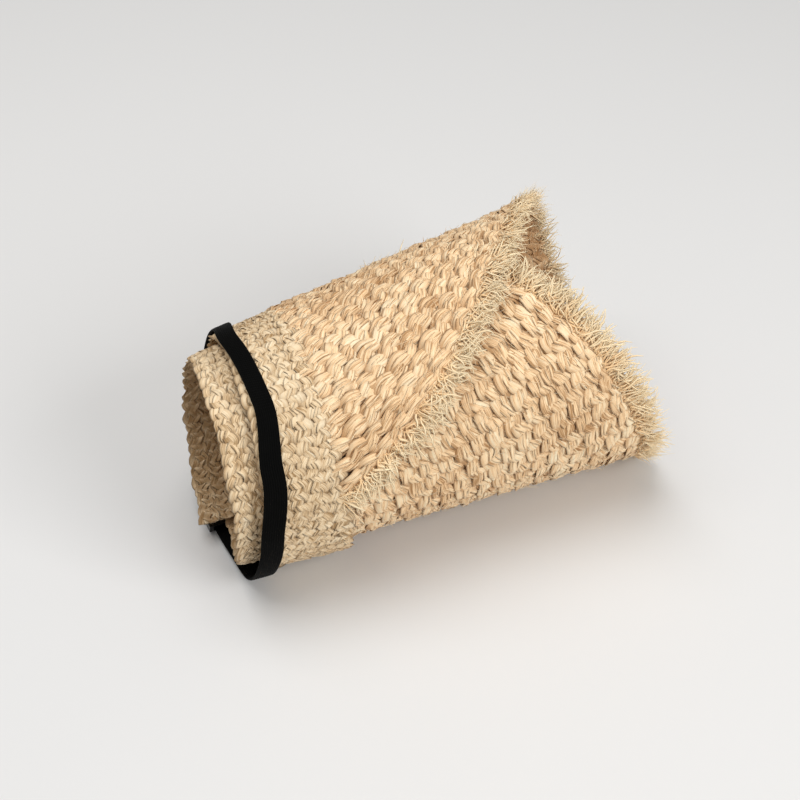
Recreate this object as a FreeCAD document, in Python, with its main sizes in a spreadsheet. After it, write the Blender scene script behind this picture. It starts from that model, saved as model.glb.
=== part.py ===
"""Roll-up straw sun visor, rolled into a cone-shaped tube and held by an elastic strap.

The visor is one flat sheet of plaited straw braids: a headband of four fine braids and a
wide brim of coarser braid rows with a frayed fringe.  Rolled up, it is a spiral whose axis
lies along X.  A place on the sheet has two coordinates:

  turn   the unwrapped angle round the axis in degrees, 0 at the top, 90 at the front (-Y),
         180 at the bottom, 270 at the back, and on for more than one turn
  along  the distance along the axis in millimetres, 0 at the headband's edge at the front

The outer turn past the crease is a flap that lifts off the roll.
"""
import FreeCAD, Part
import math
import os
import Sketcher
from FreeCAD import Vector

doc = FreeCAD.newDocument("RolledVisor")

# ---------------------------------------------------------------- driving dimensions
SIZES = [
    # the spiral
    ("roll_radius", 42.9),        # middle of the sheet at the narrow end, at brim_middle
    ("cone_rise", 0.0858),         # growth of the radius per millimetre along the axis
    ("turn_gap", 4.43),            # growth of the radius per turn
    ("turn_shift", 12.0),         # drift along the axis per turn
    ("rim_tilt", 7.5),            # how far the rim leans back from front to top
    ("sheet_thick", 2.2),         # thickness of a plaited braid
    ("flat_half_angle", 12.0),    # half angle of the stretch flattened by the roll's weight
    ("flat_sharpness", 40.0),     # how quickly the round side turns into that flat
    # the headband
    ("band_braids", 4),
    ("band_pitch", 6.6),          # width of one headband braid
    ("band_spread", 5.7),         # extra headband width where its outer end splays
    ("band_start", -174.0),       # inner end
    ("band_stop", 514.0),         # outer end
    ("band_lift", 0.9),           # how far the outer corner springs off the roll
    ("band_lift_span", 45.0),     # turn over which it lifts
    ("band_held", 20.0),          # place along the axis up to which the strap holds it down
    # the brim
    ("brim_rows", 19),
    ("brim_width", 156.0),
    ("brim_middle", 178.5),       # turn of the brim's widest place
    ("brim_half_span", 265.6),    # turn from there to where the brim meets the headband
    ("brim_power", 0.88),         # fullness of the brim's outline
    ("row_degrees", 1.12),       # turn that one millimetre inwards takes off the half span
    ("fringe_length", 11.0),
    ("seam_gap", 0.3),            # gap between neighbouring braids
    # the crease between the roll and the flap
    ("crease_turn", 330.0),
    ("crease_gap", 0.5),          # degrees left open on each side of the crease
    # the elastic strap
    ("strap_width", 10.0),
    ("strap_thick", 1.2),
    ("strap_room", 0.35),         # clearance over the braids
    ("strap_start", -140.2),      # turn of the end sewn round the ring
    ("strap_stop", 203.4),        # turn of the end looped round the ring
    ("end_lift", 4.45),           # how far the slider lifts the narrow end off the ground
    # the slider
    ("slider_turn", 196.0),
    ("slider_width", 14.0),
    ("slider_length", 11.0),
    ("slider_thick", 3.4),
    ("slot_width", 10.6),
    ("slot_thick", 2.4),
    ("slider_bar", 3.0),
    # the ring
    ("ring_turn", 211.7),
    ("ring_width", 13.4),
    ("ring_length", 9.6),
    ("ring_bar", 1.5),
    ("ring_round", 0.45),
    ("loop_room", 0.35),          # clearance between a strap loop and the ring's bar
    ("loop_tail", 0.4),           # sewn stretch between a loop and the strap
    # the row frame's origin, measured from the roll's own axis frame
    ("origin_along", 103.13),
    ("origin_front", 1.94),
    ("origin_lift", 0.512),
]

sheet = doc.addObject("Spreadsheet::Sheet", "Sizes")
for row, (name, number) in enumerate(SIZES, start=1):
    sheet.set(f"A{row}", name)
    sheet.set(f"B{row}", str(number))
    sheet.setAlias(f"B{row}", name)
doc.recompute()


def size(name):
    """A driving dimension, read from the sheet."""
    return float(sheet.get(name))


SHEET_THICK = size("sheet_thick")
BRIM_MIDDLE = size("brim_middle")
BRIM_HALF = size("brim_half_span")
BAND_START = size("band_start")
BAND_STOP = size("band_stop")
CREASE = size("crease_turn")
CREASE_GAP = size("crease_gap")
BAND_WIDTH = size("band_braids") * size("band_pitch")
ROW_PITCH = size("brim_width") / size("brim_rows")
HALF_GAP = size("seam_gap") / 2

# The strap's middle at a few turns: (turn, place along the axis, height over the braids on
# top of its own clearance).  The slider and the ring hold it off the roll.
STRAP_ROUTE = [(-150, 11.3, 1.5), (-138, 11.8, 1.5), (-95, 24.0, 0.0), (-45, 24.0, 0.0),
               (-10, 19.8, 0.0), (30, 19.6, 0.0), (62, 15.2, 0.0), (98, 11.2, 0.0),
               (120, 10.4, 0.2), (150, 11.0, 1.05), (180, 10.8, 1.05), (203, 10.8, 1.05),
               (210, 11.3, 1.5), (222, 11.3, 1.5)]
STRAP_LEAVES = 144.0        # turn at which it steps off the outer turn of the roll
STRAP_STEP_DOWN = 24.0      # turn over which it comes down to the turn below
ROUTE_STEP = 0.5
SECTION_STEP = 12.0
STRAP_STEP = 7.0
LEAST_WIDTH = 1.2


# ---------------------------------------------------------------- the rolled surface
def ease(amount):
    """Smooth step from 0 to 1."""
    amount = min(max(amount, 0.0), 1.0)
    return amount * amount * (3 - 2 * amount)


def sheet_radius(turn, along):
    """Distance of the sheet's middle from the axis, before the bottom is flattened."""
    spiral = size("turn_gap") * (turn - BRIM_MIDDLE) / 360
    lift_from = BAND_STOP - size("band_lift_span")
    lift = size("band_lift") * ease((turn - lift_from) / size("band_lift_span"))
    lift *= ease((along - size("band_held")) / size("band_held"))
    return size("roll_radius") + size("cone_rise") * along + spiral + lift


def flattened(turn, radius):
    """The radius, cut back smoothly where the roll rests on its bottom."""
    down = math.cos(math.radians(turn - 180))
    limit = math.cos(math.radians(size("flat_half_angle")))
    if down <= 0:
        return radius
    sharp = size("flat_sharpness")
    return radius * (1 + (down / limit) ** sharp) ** (-1 / sharp)


def axis_height(along):
    """Height of the axis: the slider lifts the narrow end, the wide end is on the ground."""
    bottom = flattened(180, sheet_radius(180, along) + SHEET_THICK / 2)
    reach = BAND_WIDTH + size("brim_width")
    lifted = size("band_pitch")
    share = 1 - (along - lifted) / (reach - lifted)
    return bottom + size("end_lift") * share


def place(turn, along, radius):
    """Point at a radius from the roll's axis, in the row frame."""
    angle = math.radians(turn)
    return Vector(along - size("origin_along"),
                  -radius * math.sin(angle) - size("origin_front"),
                  axis_height(along) + radius * math.cos(angle) + size("origin_lift"))


def sheet_point(turn, along, above):
    """Point at a height above the sheet's middle."""
    return place(turn, along, flattened(turn, sheet_radius(turn, along) + above))


# ---------------------------------------------------------------- edges on the flat sheet
def band_left(turn):
    """The headband's outer edge, at the narrow end of the roll."""
    lean = size("rim_tilt") * (1 - math.sin(math.radians(turn)))
    return size("turn_shift") * (turn - 90) / 360 + lean


def band_share(turn, share):
    """A line at a share of the headband's width, which splays towards the outer end."""
    splay = size("band_spread") * ease((turn - CREASE) / (BAND_STOP - CREASE))
    return band_left(turn) + share * (BAND_WIDTH + splay)


def band_right(turn):
    """The seam between the headband and the brim."""
    return band_share(turn, 1)


def brim_line(turn, inset):
    """Line on the brim at a distance in from its edge; it ends at the headband's seam."""
    half = BRIM_HALF - size("row_degrees") * inset
    share = (turn - BRIM_MIDDLE) / half
    fullness = max(1 - share * share, 0.0) ** size("brim_power")
    return band_right(turn) + (size("brim_width") - inset) * fullness


def reach_turn(inset, width):
    """Turn on each side of the middle at which the line comes within width of the seam."""
    share = (width / (size("brim_width") - inset)) ** (1 / size("brim_power"))
    half = BRIM_HALF - size("row_degrees") * inset
    return half * math.sqrt(1 - min(share, 1.0))


# ---------------------------------------------------------------- solids of the sheet
def turns_between(start, stop, also=()):
    """Section angles from start to stop, even steps with some extra ones."""
    count = max(2, math.ceil((stop - start) / SECTION_STEP))
    turns = [start + (stop - start) * step / count for step in range(count + 1)]
    inner = [turn for turn in also if start + 1.5 < turn < stop - 1.5]
    turns = [turn for turn in turns
             if all(abs(turn - extra) > 1.5 for extra in inner) or turn in (start, stop)]
    return sorted(turns + inner)


def strip(label, low_edge, high_edge, start, stop, also=(), thick=SHEET_THICK):
    """Spiral strip between two edges, lofted through quadrilateral sections."""
    sections = []
    for turn in turns_between(start, stop, also):
        low = low_edge(turn)
        high = high_edge(turn)
        corners = [sheet_point(turn, low, -thick / 2), sheet_point(turn, high, -thick / 2),
                   sheet_point(turn, high, thick / 2), sheet_point(turn, low, thick / 2)]
        sections.append(Part.makePolygon(corners + corners[:1]))
    piece = doc.addObject("Part::Feature", label)
    piece.Shape = Part.makeLoft(sections, True, True)
    piece.Label = label
    return piece


def split_strip(label, low_edge, high_edge, start, stop, also=(), thick=SHEET_THICK):
    """The strip's stretch on the roll and, past the crease, its stretch on the flap."""
    pieces = [strip(label, low_edge, high_edge, start, min(stop, CREASE - CREASE_GAP),
                    also, thick)]
    if stop > CREASE + 3 * CREASE_GAP:
        pieces.append(strip("flap_" + label, low_edge, high_edge, CREASE + CREASE_GAP, stop,
                            also, thick))
    return pieces


def headband():
    """The headband's braids, side by side over nearly two turns."""
    made = []
    count = int(size("band_braids"))
    for number in range(count):
        near = number / count
        far = (number + 1) / count
        made += split_strip(f"band_braid_{number + 1}",
                            lambda turn, near=near: band_share(turn, near) + HALF_GAP,
                            lambda turn, far=far: band_share(turn, far) - HALF_GAP,
                            BAND_START, BAND_STOP)
    return made


def brim():
    """The brim's braid rows, from the outer edge in, each cut off at the headband's seam."""
    made = []
    for number in range(int(size("brim_rows"))):
        outer = number * ROW_PITCH
        inner = outer + ROW_PITCH
        last = number == size("brim_rows") - 1
        reach = reach_turn(outer, LEAST_WIDTH + 2 * HALF_GAP)
        also = []
        if not last:
            meets = BRIM_HALF - size("row_degrees") * inner
            for side in (-1, 1):
                also += [BRIM_MIDDLE + side * (meets + (reach - meets) * part)
                         for part in (-0.6, -0.25, 0, 0.35, 0.7)]

        def low(turn, inner=inner, last=last):
            line = band_right(turn) if last else brim_line(turn, inner)
            return line + HALF_GAP

        def high(turn, outer=outer):
            return brim_line(turn, outer) - HALF_GAP

        made += split_strip(f"brim_braid_{number + 1:02d}", low, high,
                            BRIM_MIDDLE - reach, BRIM_MIDDLE + reach, also)
    return made


def fringe():
    """The frayed ends that stand out past the outermost row."""
    length = size("fringe_length")
    reach = reach_turn(-length, LEAST_WIDTH + 2 * HALF_GAP)
    also = [BRIM_MIDDLE + side * (BRIM_HALF + (reach - BRIM_HALF) * part)
            for side in (-1, 1) for part in (-0.6, -0.25, 0, 0.35, 0.7)]
    return split_strip("brim_fringe",
                       lambda turn: brim_line(turn, 0) + HALF_GAP,
                       lambda turn: brim_line(turn, -length) - HALF_GAP,
                       BRIM_MIDDLE - reach, BRIM_MIDDLE + reach, also)


# ---------------------------------------------------------------- the elastic strap
def strap_route(turn):
    """The strap's place along the axis and its extra height, eased between the points."""
    for before, after in zip(STRAP_ROUTE, STRAP_ROUTE[1:]):
        if turn <= after[0]:
            break
    share = ease((turn - before[0]) / (after[0] - before[0]))
    return [low + (high - low) * share for low, high in zip(before[1:], after[1:])]


def strap_radius(turn):
    """Radius of the strap's middle, over the outermost turn of the roll."""
    along, extra = strap_route(turn)
    above = SHEET_THICK / 2 + size("strap_room") + size("strap_thick") / 2 + extra
    outer = sheet_radius(min(turn + 360, BAND_STOP), along)
    inner = sheet_radius(turn, along)
    share = 1 - ease((turn - STRAP_LEAVES) / STRAP_STEP_DOWN)
    return flattened(turn, inner + (outer - inner) * share + above)


def strap_point(turn):
    return place(turn, strap_route(turn)[0], strap_radius(turn))


def strap_frame(turn):
    """Width, run and outward directions of the strap at a turn."""
    before = strap_point(turn - ROUTE_STEP)
    run = (strap_point(turn + ROUTE_STEP) - before).normalize()
    slope = place(turn, strap_route(turn)[0] + 1, strap_radius(turn) + size("cone_rise"))
    width = slope - strap_point(turn)
    width = (width - run * width.dot(run)).normalize()
    return width, run, run.cross(width)


def strap():
    """The strap's band, open where the ring joins its two ends."""
    start, stop = size("strap_start"), size("strap_stop")
    count = math.ceil((stop - start) / STRAP_STEP)
    half_width, half_thick = size("strap_width") / 2, size("strap_thick") / 2
    sections = []
    for step in range(count + 1):
        turn = start + (stop - start) * step / count
        width, run, out = strap_frame(turn)
        middle = strap_point(turn)
        corners = [middle + width * (half_width * side) + out * (half_thick * face)
                   for side, face in ((-1, -1), (1, -1), (1, 1), (-1, 1))]
        sections.append(Part.makePolygon(corners + corners[:1]))
    piece = doc.addObject("Part::Feature", "elastic_strap")
    piece.Shape = Part.makeLoft(sections, True, True)
    piece.Label = "elastic_strap"
    return [piece]


# ---------------------------------------------------------------- slider and ring
def origin_plane(body, role):
    """One of a body's own origin planes."""
    return [feature for feature in body.Origin.OriginFeatures if feature.Role == role][0]


def box_sketch(body, name, role, width, height):
    """Rectangle centred on the body's origin; width and height are expressions."""
    sketch = body.newObject("Sketcher::SketchObject", name)
    sketch.AttachmentSupport = [(origin_plane(body, role), "")]
    sketch.MapMode = "FlatFace"
    corners = [Vector(-1, -1, 0), Vector(1, -1, 0), Vector(1, 1, 0), Vector(-1, 1, 0)]
    for number in range(4):
        sketch.addGeometry(Part.LineSegment(corners[number], corners[(number + 1) % 4]))
    for number in range(4):
        sketch.addConstraint(Sketcher.Constraint("Coincident", number, 2, (number + 1) % 4, 1))
    for line in (0, 2):
        sketch.addConstraint(Sketcher.Constraint("Horizontal", line))
    for line in (1, 3):
        sketch.addConstraint(Sketcher.Constraint("Vertical", line))
    sketch.addConstraint(Sketcher.Constraint("Symmetric", 0, 1, 2, 1, -1, 1))
    for label, kind, line, expression in (("width", "DistanceX", 0, width),
                                          ("height", "DistanceY", 1, height)):
        index = sketch.addConstraint(Sketcher.Constraint(kind, line, 1, line, 2, 2.0))
        sketch.renameConstraint(index, label)
        sketch.setExpression("Constraints." + label, expression)
    return sketch


def block(body, name, sketch, thick):
    """A pad, half on each side of its sketch."""
    pad = body.newObject("PartDesign::Pad", name)
    pad.Profile = sketch
    pad.Midplane = True
    pad.setExpression("Length", thick)
    return pad


def cut(body, name, sketch, depth, both_sides=True):
    """A pocket through the body, either way from its sketch or one way only."""
    pocket = body.newObject("PartDesign::Pocket", name)
    pocket.Profile = sketch
    pocket.Midplane = both_sides
    pocket.setExpression("Length", depth)
    return pocket


def slider():
    """Three-bar slider: the strap passes under two bars and over one."""
    body = doc.addObject("PartDesign::Body", "strap_slider")
    body.Label = "strap_slider"
    plate = box_sketch(body, "SliderPlate", "XY_Plane", "Sizes.slider_width",
                       "Sizes.slider_length")
    block(body, "SliderPad", plate, "Sizes.slider_thick")
    channel = box_sketch(body, "SliderChannel", "XZ_Plane", "Sizes.slot_width",
                         "Sizes.slot_thick")
    cut(body, "SliderTunnel", channel, "Sizes.slider_length + 2")
    window = box_sketch(body, "SliderWindow", "XY_Plane", "Sizes.slot_width",
                        "Sizes.slider_length - 2 * Sizes.slider_bar")
    top_window = cut(body, "SliderTopWindow", window, "Sizes.slider_thick", False)
    top_window.Reversed = True
    return [body]


def ring():
    """Rectangular ring that joins the strap's two ends."""
    body = doc.addObject("PartDesign::Body", "strap_ring")
    body.Label = "strap_ring"
    outline = box_sketch(body, "RingOutline", "XY_Plane", "Sizes.ring_width",
                         "Sizes.ring_length")
    block(body, "RingPad", outline, "Sizes.ring_bar")
    window = box_sketch(body, "RingWindow", "XY_Plane",
                        "Sizes.ring_width - 2 * Sizes.ring_bar",
                        "Sizes.ring_length - 2 * Sizes.ring_bar")
    opening = cut(body, "RingOpening", window, "Sizes.ring_bar + 2")
    doc.recompute()
    rounding = body.newObject("PartDesign::Fillet", "RingRounding")
    rounding.Base = (opening, [f"Edge{number + 1}" for number in
                               range(len(opening.Shape.Edges))])
    rounding.setExpression("Radius", "Sizes.ring_round")
    return [body]


def loop(label, toward):
    """Strap end wrapped round one of the ring's bars, with its sewn tail.

    toward is 1 for the bar on the ring's far side and -1 for the near one.
    """
    bore = "Sizes.ring_bar / 2 + Sizes.loop_room"
    coil = doc.addObject("Part::Cylinder", label + "_coil")
    coil.setExpression("Radius", bore + " + Sizes.strap_thick")
    hole = doc.addObject("Part::Cylinder", label + "_hole")
    hole.setExpression("Radius", bore)
    for piece in (coil, hole):
        piece.setExpression("Height", "Sizes.strap_width")
        piece.Placement = FreeCAD.Placement(Vector(-size("strap_width") / 2, 0, 0),
                                            FreeCAD.Rotation(Vector(0, 1, 0), 90))
    tail = doc.addObject("Part::Box", label + "_tail")
    tail.setExpression("Length", "Sizes.strap_width")
    tail.setExpression("Width", bore + " + Sizes.strap_thick + Sizes.loop_tail")
    tail.setExpression("Height", "2 * Sizes.strap_thick")
    doc.recompute()
    tail.Placement = FreeCAD.Placement(
        Vector(-size("strap_width") / 2, min(0, toward * float(tail.Width)),
               -size("strap_thick")), FreeCAD.Rotation())
    wrap = doc.addObject("Part::Fuse", label + "_wrap")
    wrap.Base = coil
    wrap.Tool = tail
    piece = doc.addObject("Part::Cut", label)
    piece.Base = wrap
    piece.Tool = hole
    piece.Label = label
    return piece


def set_on_strap(piece, turn, shift=(0.0, 0.0, 0.0)):
    """Put a piece on the strap: its X is the width, Y the run and Z points outwards."""
    width, run, out = strap_frame(turn)
    offset = width * shift[0] + run * shift[1] + out * shift[2]
    turned = FreeCAD.Rotation(width, run, out, "XYZ")
    piece.Placement = FreeCAD.Placement(strap_point(turn) + offset, turned)
    return turned


def hardware():
    """Slider, ring and the strap's two loops, set on the strap."""
    made = slider() + ring()
    set_on_strap(made[0], size("slider_turn"))
    set_on_strap(made[1], size("ring_turn"))
    bar_offset = (size("ring_length") - size("ring_bar")) / 2
    for label, toward in (("strap_sewn_loop", 1), ("strap_slider_loop", -1)):
        piece = loop(label, toward)
        set_on_strap(piece, size("ring_turn"), (0.0, toward * bar_offset, 0.0))
        made.append(piece)
    return made


# ---------------------------------------------------------------- build, check and write
def check(objects):
    """Stop if any object failed or a piece has no valid solid."""
    for item in doc.Objects:
        if {"Invalid", "Error"} & set(item.State):
            raise RuntimeError(f"{item.Name} failed: {item.State}")
    for item in objects:
        shape = item.Shape
        if shape.isNull() or not shape.isValid() or not shape.Solids:
            raise RuntimeError(f"{item.Label} has no valid solid")
        if any(solid.Volume <= 0 for solid in shape.Solids):
            raise RuntimeError(f"{item.Label} is inside out")


def report(objects):
    """Print the whole model's box and the numbers that the record needs."""
    whole = FreeCAD.BoundBox()
    for item in objects:
        whole.add(item.Shape.BoundBox)
    print("box", [round(value, 3) for value in (whole.XMin, whole.XMax, whole.YMin,
                                                whole.YMax, whole.ZMin, whole.ZMax)])
    top = SHEET_THICK / 2
    hinge = sheet_point(CREASE, 0, top)
    far = sheet_point(CREASE, BAND_WIDTH + size("brim_width"), top)
    print("crease", hinge, (far - hinge).normalize())
    for name in ("slider_turn", "ring_turn"):
        print(name, strap_point(size(name)), *strap_frame(size(name)))


pieces = headband() + brim() + fringe() + strap()
doc.recompute()
pieces += hardware()
doc.recompute()
check(pieces)
os.makedirs("parts", exist_ok=True)
for piece in pieces:
    piece.Shape.exportStep(f"parts/{piece.Label}.step")
report(pieces)
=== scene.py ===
import math

import bpy
import numpy as np
from bpy.props import FloatProperty, FloatVectorProperty, IntProperty, PointerProperty
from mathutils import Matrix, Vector


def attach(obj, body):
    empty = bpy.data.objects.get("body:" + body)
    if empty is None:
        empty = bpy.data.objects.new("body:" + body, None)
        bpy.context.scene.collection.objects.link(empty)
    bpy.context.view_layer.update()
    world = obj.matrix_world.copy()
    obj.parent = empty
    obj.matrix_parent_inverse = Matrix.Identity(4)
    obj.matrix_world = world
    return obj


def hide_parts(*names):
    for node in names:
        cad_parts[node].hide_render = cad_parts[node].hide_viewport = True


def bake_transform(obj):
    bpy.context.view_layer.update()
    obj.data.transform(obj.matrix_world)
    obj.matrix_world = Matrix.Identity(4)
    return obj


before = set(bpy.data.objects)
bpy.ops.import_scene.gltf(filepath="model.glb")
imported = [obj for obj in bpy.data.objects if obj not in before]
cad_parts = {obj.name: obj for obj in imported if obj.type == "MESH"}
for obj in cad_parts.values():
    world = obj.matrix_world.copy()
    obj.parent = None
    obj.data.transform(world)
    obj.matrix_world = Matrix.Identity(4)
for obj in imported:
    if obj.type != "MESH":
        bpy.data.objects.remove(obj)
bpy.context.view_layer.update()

bl_info = {
    "name": "Rolled straw visor",
    "version": (1, 0, 0),
    "blender": (4, 5, 0),
    "location": "3D View > Sidebar > Visor",
    "description": "Plaited straw sun visor, rolled up and held by an elastic strap",
    "category": "Add Mesh",
}

MILLI = 0.001


# ------------------------------------------------------------------ sizes and colours
def length(name, metres, about):
    """A size in metres that the sidebar shows in the scene's units."""
    return FloatProperty(name=name, description=about, default=metres, unit="LENGTH",
                         precision=5)


def angle(name, degrees, about):
    """A turn round the roll, kept in radians as Blender keeps angles."""
    return FloatProperty(name=name, description=about, default=math.radians(degrees),
                         subtype="ANGLE")


def ratio(name, value, about):
    return FloatProperty(name=name, description=about, default=value, precision=4)


def count(name, value, about):
    return IntProperty(name=name, description=about, default=value, min=1)


def colour(name, value, about):
    return FloatVectorProperty(name=name, description=about, default=value,
                               subtype="COLOR", min=0.0, max=1.0)


class VisorRollSizes(bpy.types.PropertyGroup):
    """How the flat visor is rolled up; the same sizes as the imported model's."""
    roll_radius: length("Roll radius", 0.0429, "Middle of the sheet at the narrow end")
    cone_rise: ratio("Cone rise", 0.0858, "Growth of the radius along the axis")
    turn_gap: length("Turn gap", 0.00443, "Growth of the radius per turn")
    turn_shift: length("Turn shift", 0.012, "Drift along the axis per turn")
    rim_tilt: length("Rim tilt", 0.0075, "How far the rim leans back from front to top")
    sheet_thick: length("Sheet thickness", 0.0022, "Thickness of a plaited braid")
    flat_angle: angle("Flat angle", 12.0, "Half angle of the stretch it rests on")
    flat_sharpness: ratio("Flat sharpness", 40.0, "How quickly round turns into flat")
    crease: angle("Crease", 330.0, "Turn at which the outer flap bends")
    ripple: length("Ripple", 0.00035, "Unevenness of the rolled sheet")
    press: length("Press", 0.0003, "Height in which straw is pressed flat on the floor")
    end_lift: length("End lift", 0.00445, "How far the slider lifts the narrow end")


class VisorBandSizes(bpy.types.PropertyGroup):
    """The headband."""
    braids: count("Braids", 4, "Braids side by side")
    pitch: length("Pitch", 0.0066, "Width of one braid")
    spread: length("Spread", 0.0057, "Extra width where the outer end splays")
    start: angle("Start", -174.0, "Turn of the inner end")
    stop: angle("Stop", 514.0, "Turn of the outer end")
    lift: length("Lift", 0.0009, "How far the outer corner springs off the roll")
    lift_span: angle("Lift span", 45.0, "Turn over which it lifts")
    held: length("Held", 0.020, "Place up to which the strap holds it down")
    strands: count("Strands", 3, "Strands in one braid")
    ribbons: count("Ribbons", 3, "Ribbons of raffia in one strand")
    strand_width: length("Strand width", 0.0054, "Width of one strand")
    strand_thick: length("Strand thickness", 0.00080, "Thickness of one strand")
    plait: length("Plait length", 0.0150, "Length in which a strand crosses and comes back")


class VisorBrimSizes(bpy.types.PropertyGroup):
    """The brim and its fringe."""
    rows: count("Rows", 19, "Braid rows")
    width: length("Width", 0.156, "Brim at its widest")
    middle: angle("Middle", 178.5, "Turn of the widest place")
    half_span: angle("Half span", 265.6, "Turn from there to the headband's seam")
    power: ratio("Fullness", 0.88, "Power of the brim's outline")
    row_turn: ratio("Row turn", 1120.0, "Degrees that a metre inwards takes off the span")
    strands: count("Strands", 3, "Strands in one braid")
    ribbons: count("Ribbons", 4, "Ribbons of raffia in one strand")
    strand_width: length("Strand width", 0.0078, "Width of one strand")
    strand_thick: length("Strand thickness", 0.00105, "Thickness of one strand")
    plait: length("Plait length", 0.0285, "Length in which a strand crosses and comes back")
    fringe: length("Fringe", 0.0108, "Length of the frayed ends")
    tuft_gap: length("Tuft gap", 0.0022, "Distance from one tuft of the fringe to the next")
    tuft_blades: count("Blades", 18, "Ends in one tuft")
    loose: count("Loose fibres", 800, "Single fibres that stand off the braids")


class VisorStrapSizes(bpy.types.PropertyGroup):
    """The elastic strap."""
    width: length("Width", 0.010, "Width of the elastic")
    thick: length("Thickness", 0.0012, "Thickness of the elastic")
    room: length("Room", 0.00035, "Clearance over the braids")
    start: angle("Start", -140.2, "Turn of the end sewn round the ring")
    stop: angle("Stop", 203.4, "Turn of the end looped round the ring")
    leaves: angle("Leaves", 144.0, "Turn at which it steps off the outer turn")
    step_down: angle("Step down", 24.0, "Turn over which it comes down")
    ribs: count("Ribs", 10, "Rubber cores across the width")
    waist: ratio("Waist", 0.26, "Share of the width it loses where it is pulled over the top")


class VisorColours(bpy.types.PropertyGroup):
    """Colours of the straw, elastic and plastic."""
    # Brim dark is the darkest fibre streaks and also the painted shade in the plait's dips and
    # at strand edges.
    brim_streak_and_shade: colour("Brim dark", (0.42, 0.215, 0.080), "Straw in the creases")
    brim_mid: colour("Brim middle", (0.97, 0.670, 0.380), "Most of the brim's straw")
    brim_pale: colour("Brim pale", (1.0, 0.86, 0.600), "Palest fibres of the brim")
    # Band dark is the darkest fibre streaks and also the painted shade in the plait's dips and
    # at strand edges.
    band_streak_and_shade: colour("Band dark", (0.36, 0.210, 0.085), "Creases of the headband")
    band_mid: colour("Band middle", (0.85, 0.635, 0.385), "Most of the headband's straw")
    band_pale: colour("Band pale", (0.94, 0.79, 0.56), "Palest fibres of the headband")
    fringe_root: colour("Fringe root", (0.94, 0.64, 0.34), "Frayed ends at the seam")
    fringe_tip: colour("Fringe tip", (1.0, 0.82, 0.54), "Frayed ends at their tips")
    elastic: colour("Elastic", (0.0006, 0.0006, 0.0005), "Strap")
    plastic: colour("Plastic", (0.003, 0.003, 0.0032), "Slider and ring")
    thread: colour("Thread", (0.82, 0.68, 0.48), "Sewing thread")
    floor: colour("Floor", (0.755, 0.75, 0.742), "Floor")


class VisorStageSizes(bpy.types.PropertyGroup):
    """Camera, lights and floor."""
    azimuth: angle("Azimuth", -25.351, "Camera's side angle")
    elevation: angle("Elevation", 40.379, "Camera's height angle")
    distance: length("Distance", 0.6640, "Camera to the middle of the roll")
    lens: ratio("Lens", 75.9, "Focal length in millimetres")
    aim_forward: length("Aim along", -0.02529, "Aim point along the roll")
    aim_side: length("Aim side", -0.02326, "Aim point across the roll")
    aim_height: length("Aim height", 0.06903, "Aim point above the floor")
    key_power: FloatProperty(name="Key", description="Power of the overhead softbox",
                             default=12.3, unit="POWER")
    fill_power: FloatProperty(name="Fill", description="Power of the front softbox",
                              default=12.8, unit="POWER")
    sky: ratio("Sky", 0.32, "Strength of the surrounding light")


SETTINGS = (("visor_roll", VisorRollSizes), ("visor_band", VisorBandSizes),
            ("visor_brim", VisorBrimSizes), ("visor_strap", VisorStrapSizes),
            ("visor_colours", VisorColours), ("visor_stage", VisorStageSizes))

# The strap's middle at a few turns: degrees, metres along the axis, and metres over the
# braids on top of its own clearance.
STRAP_ROUTE = ((-150, 0.0113, 0.0015), (-138, 0.0118, 0.0015), (-95, 0.0240, 0.0),
               (-45, 0.0240, 0.0), (-10, 0.0198, 0.0), (30, 0.0196, 0.0), (62, 0.0152, 0.0),
               (98, 0.0112, 0.0), (120, 0.0104, 0.0002), (150, 0.0110, 0.00105),
               (180, 0.0108, 0.00105), (203, 0.0108, 0.00105), (210, 0.0113, 0.0015),
               (222, 0.0113, 0.0015))
# The middle of the row frame, measured from the roll's own axis frame.
ORIGIN = (0.10313, 0.00194, -0.000512)
# The flap's pieces begin at this turn across the roll, on its top, behind the axis.
SPLIT_TURN = 303.0
# How far each braid overlaps its neighbours, as a share of its own pitch, and its lean.
BAND_LAP, BAND_TILT, BAND_RINGS = 1.38, 0.03, 18
BRIM_LAP, BRIM_TILT, BRIM_RINGS = 1.48, -0.12, 22
RING_POINTS = 6
STITCH_GAP = 0.014
FLOOR_HALF = 6.0


# ------------------------------------------------------------------ the rolled sheet
def ease(amount):
    """Smooth step from 0 to 1: 3 a^2 - 2 a^3, held at its ends."""
    amount = np.clip(amount, 0.0, 1.0)
    return amount * amount * (3 - 2 * amount)


def wander(rng, where, wavelength, amount, waves=5):
    """Smooth random wave: a sum of sines of nearby wavelengths, each with its own phase."""
    total = np.zeros_like(where)
    for _ in range(waves):
        total += np.sin(2 * np.pi * (where / (wavelength * rng.uniform(0.55, 1.9))
                                     + rng.uniform()))
    return amount * total / math.sqrt(waves / 2)


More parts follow.
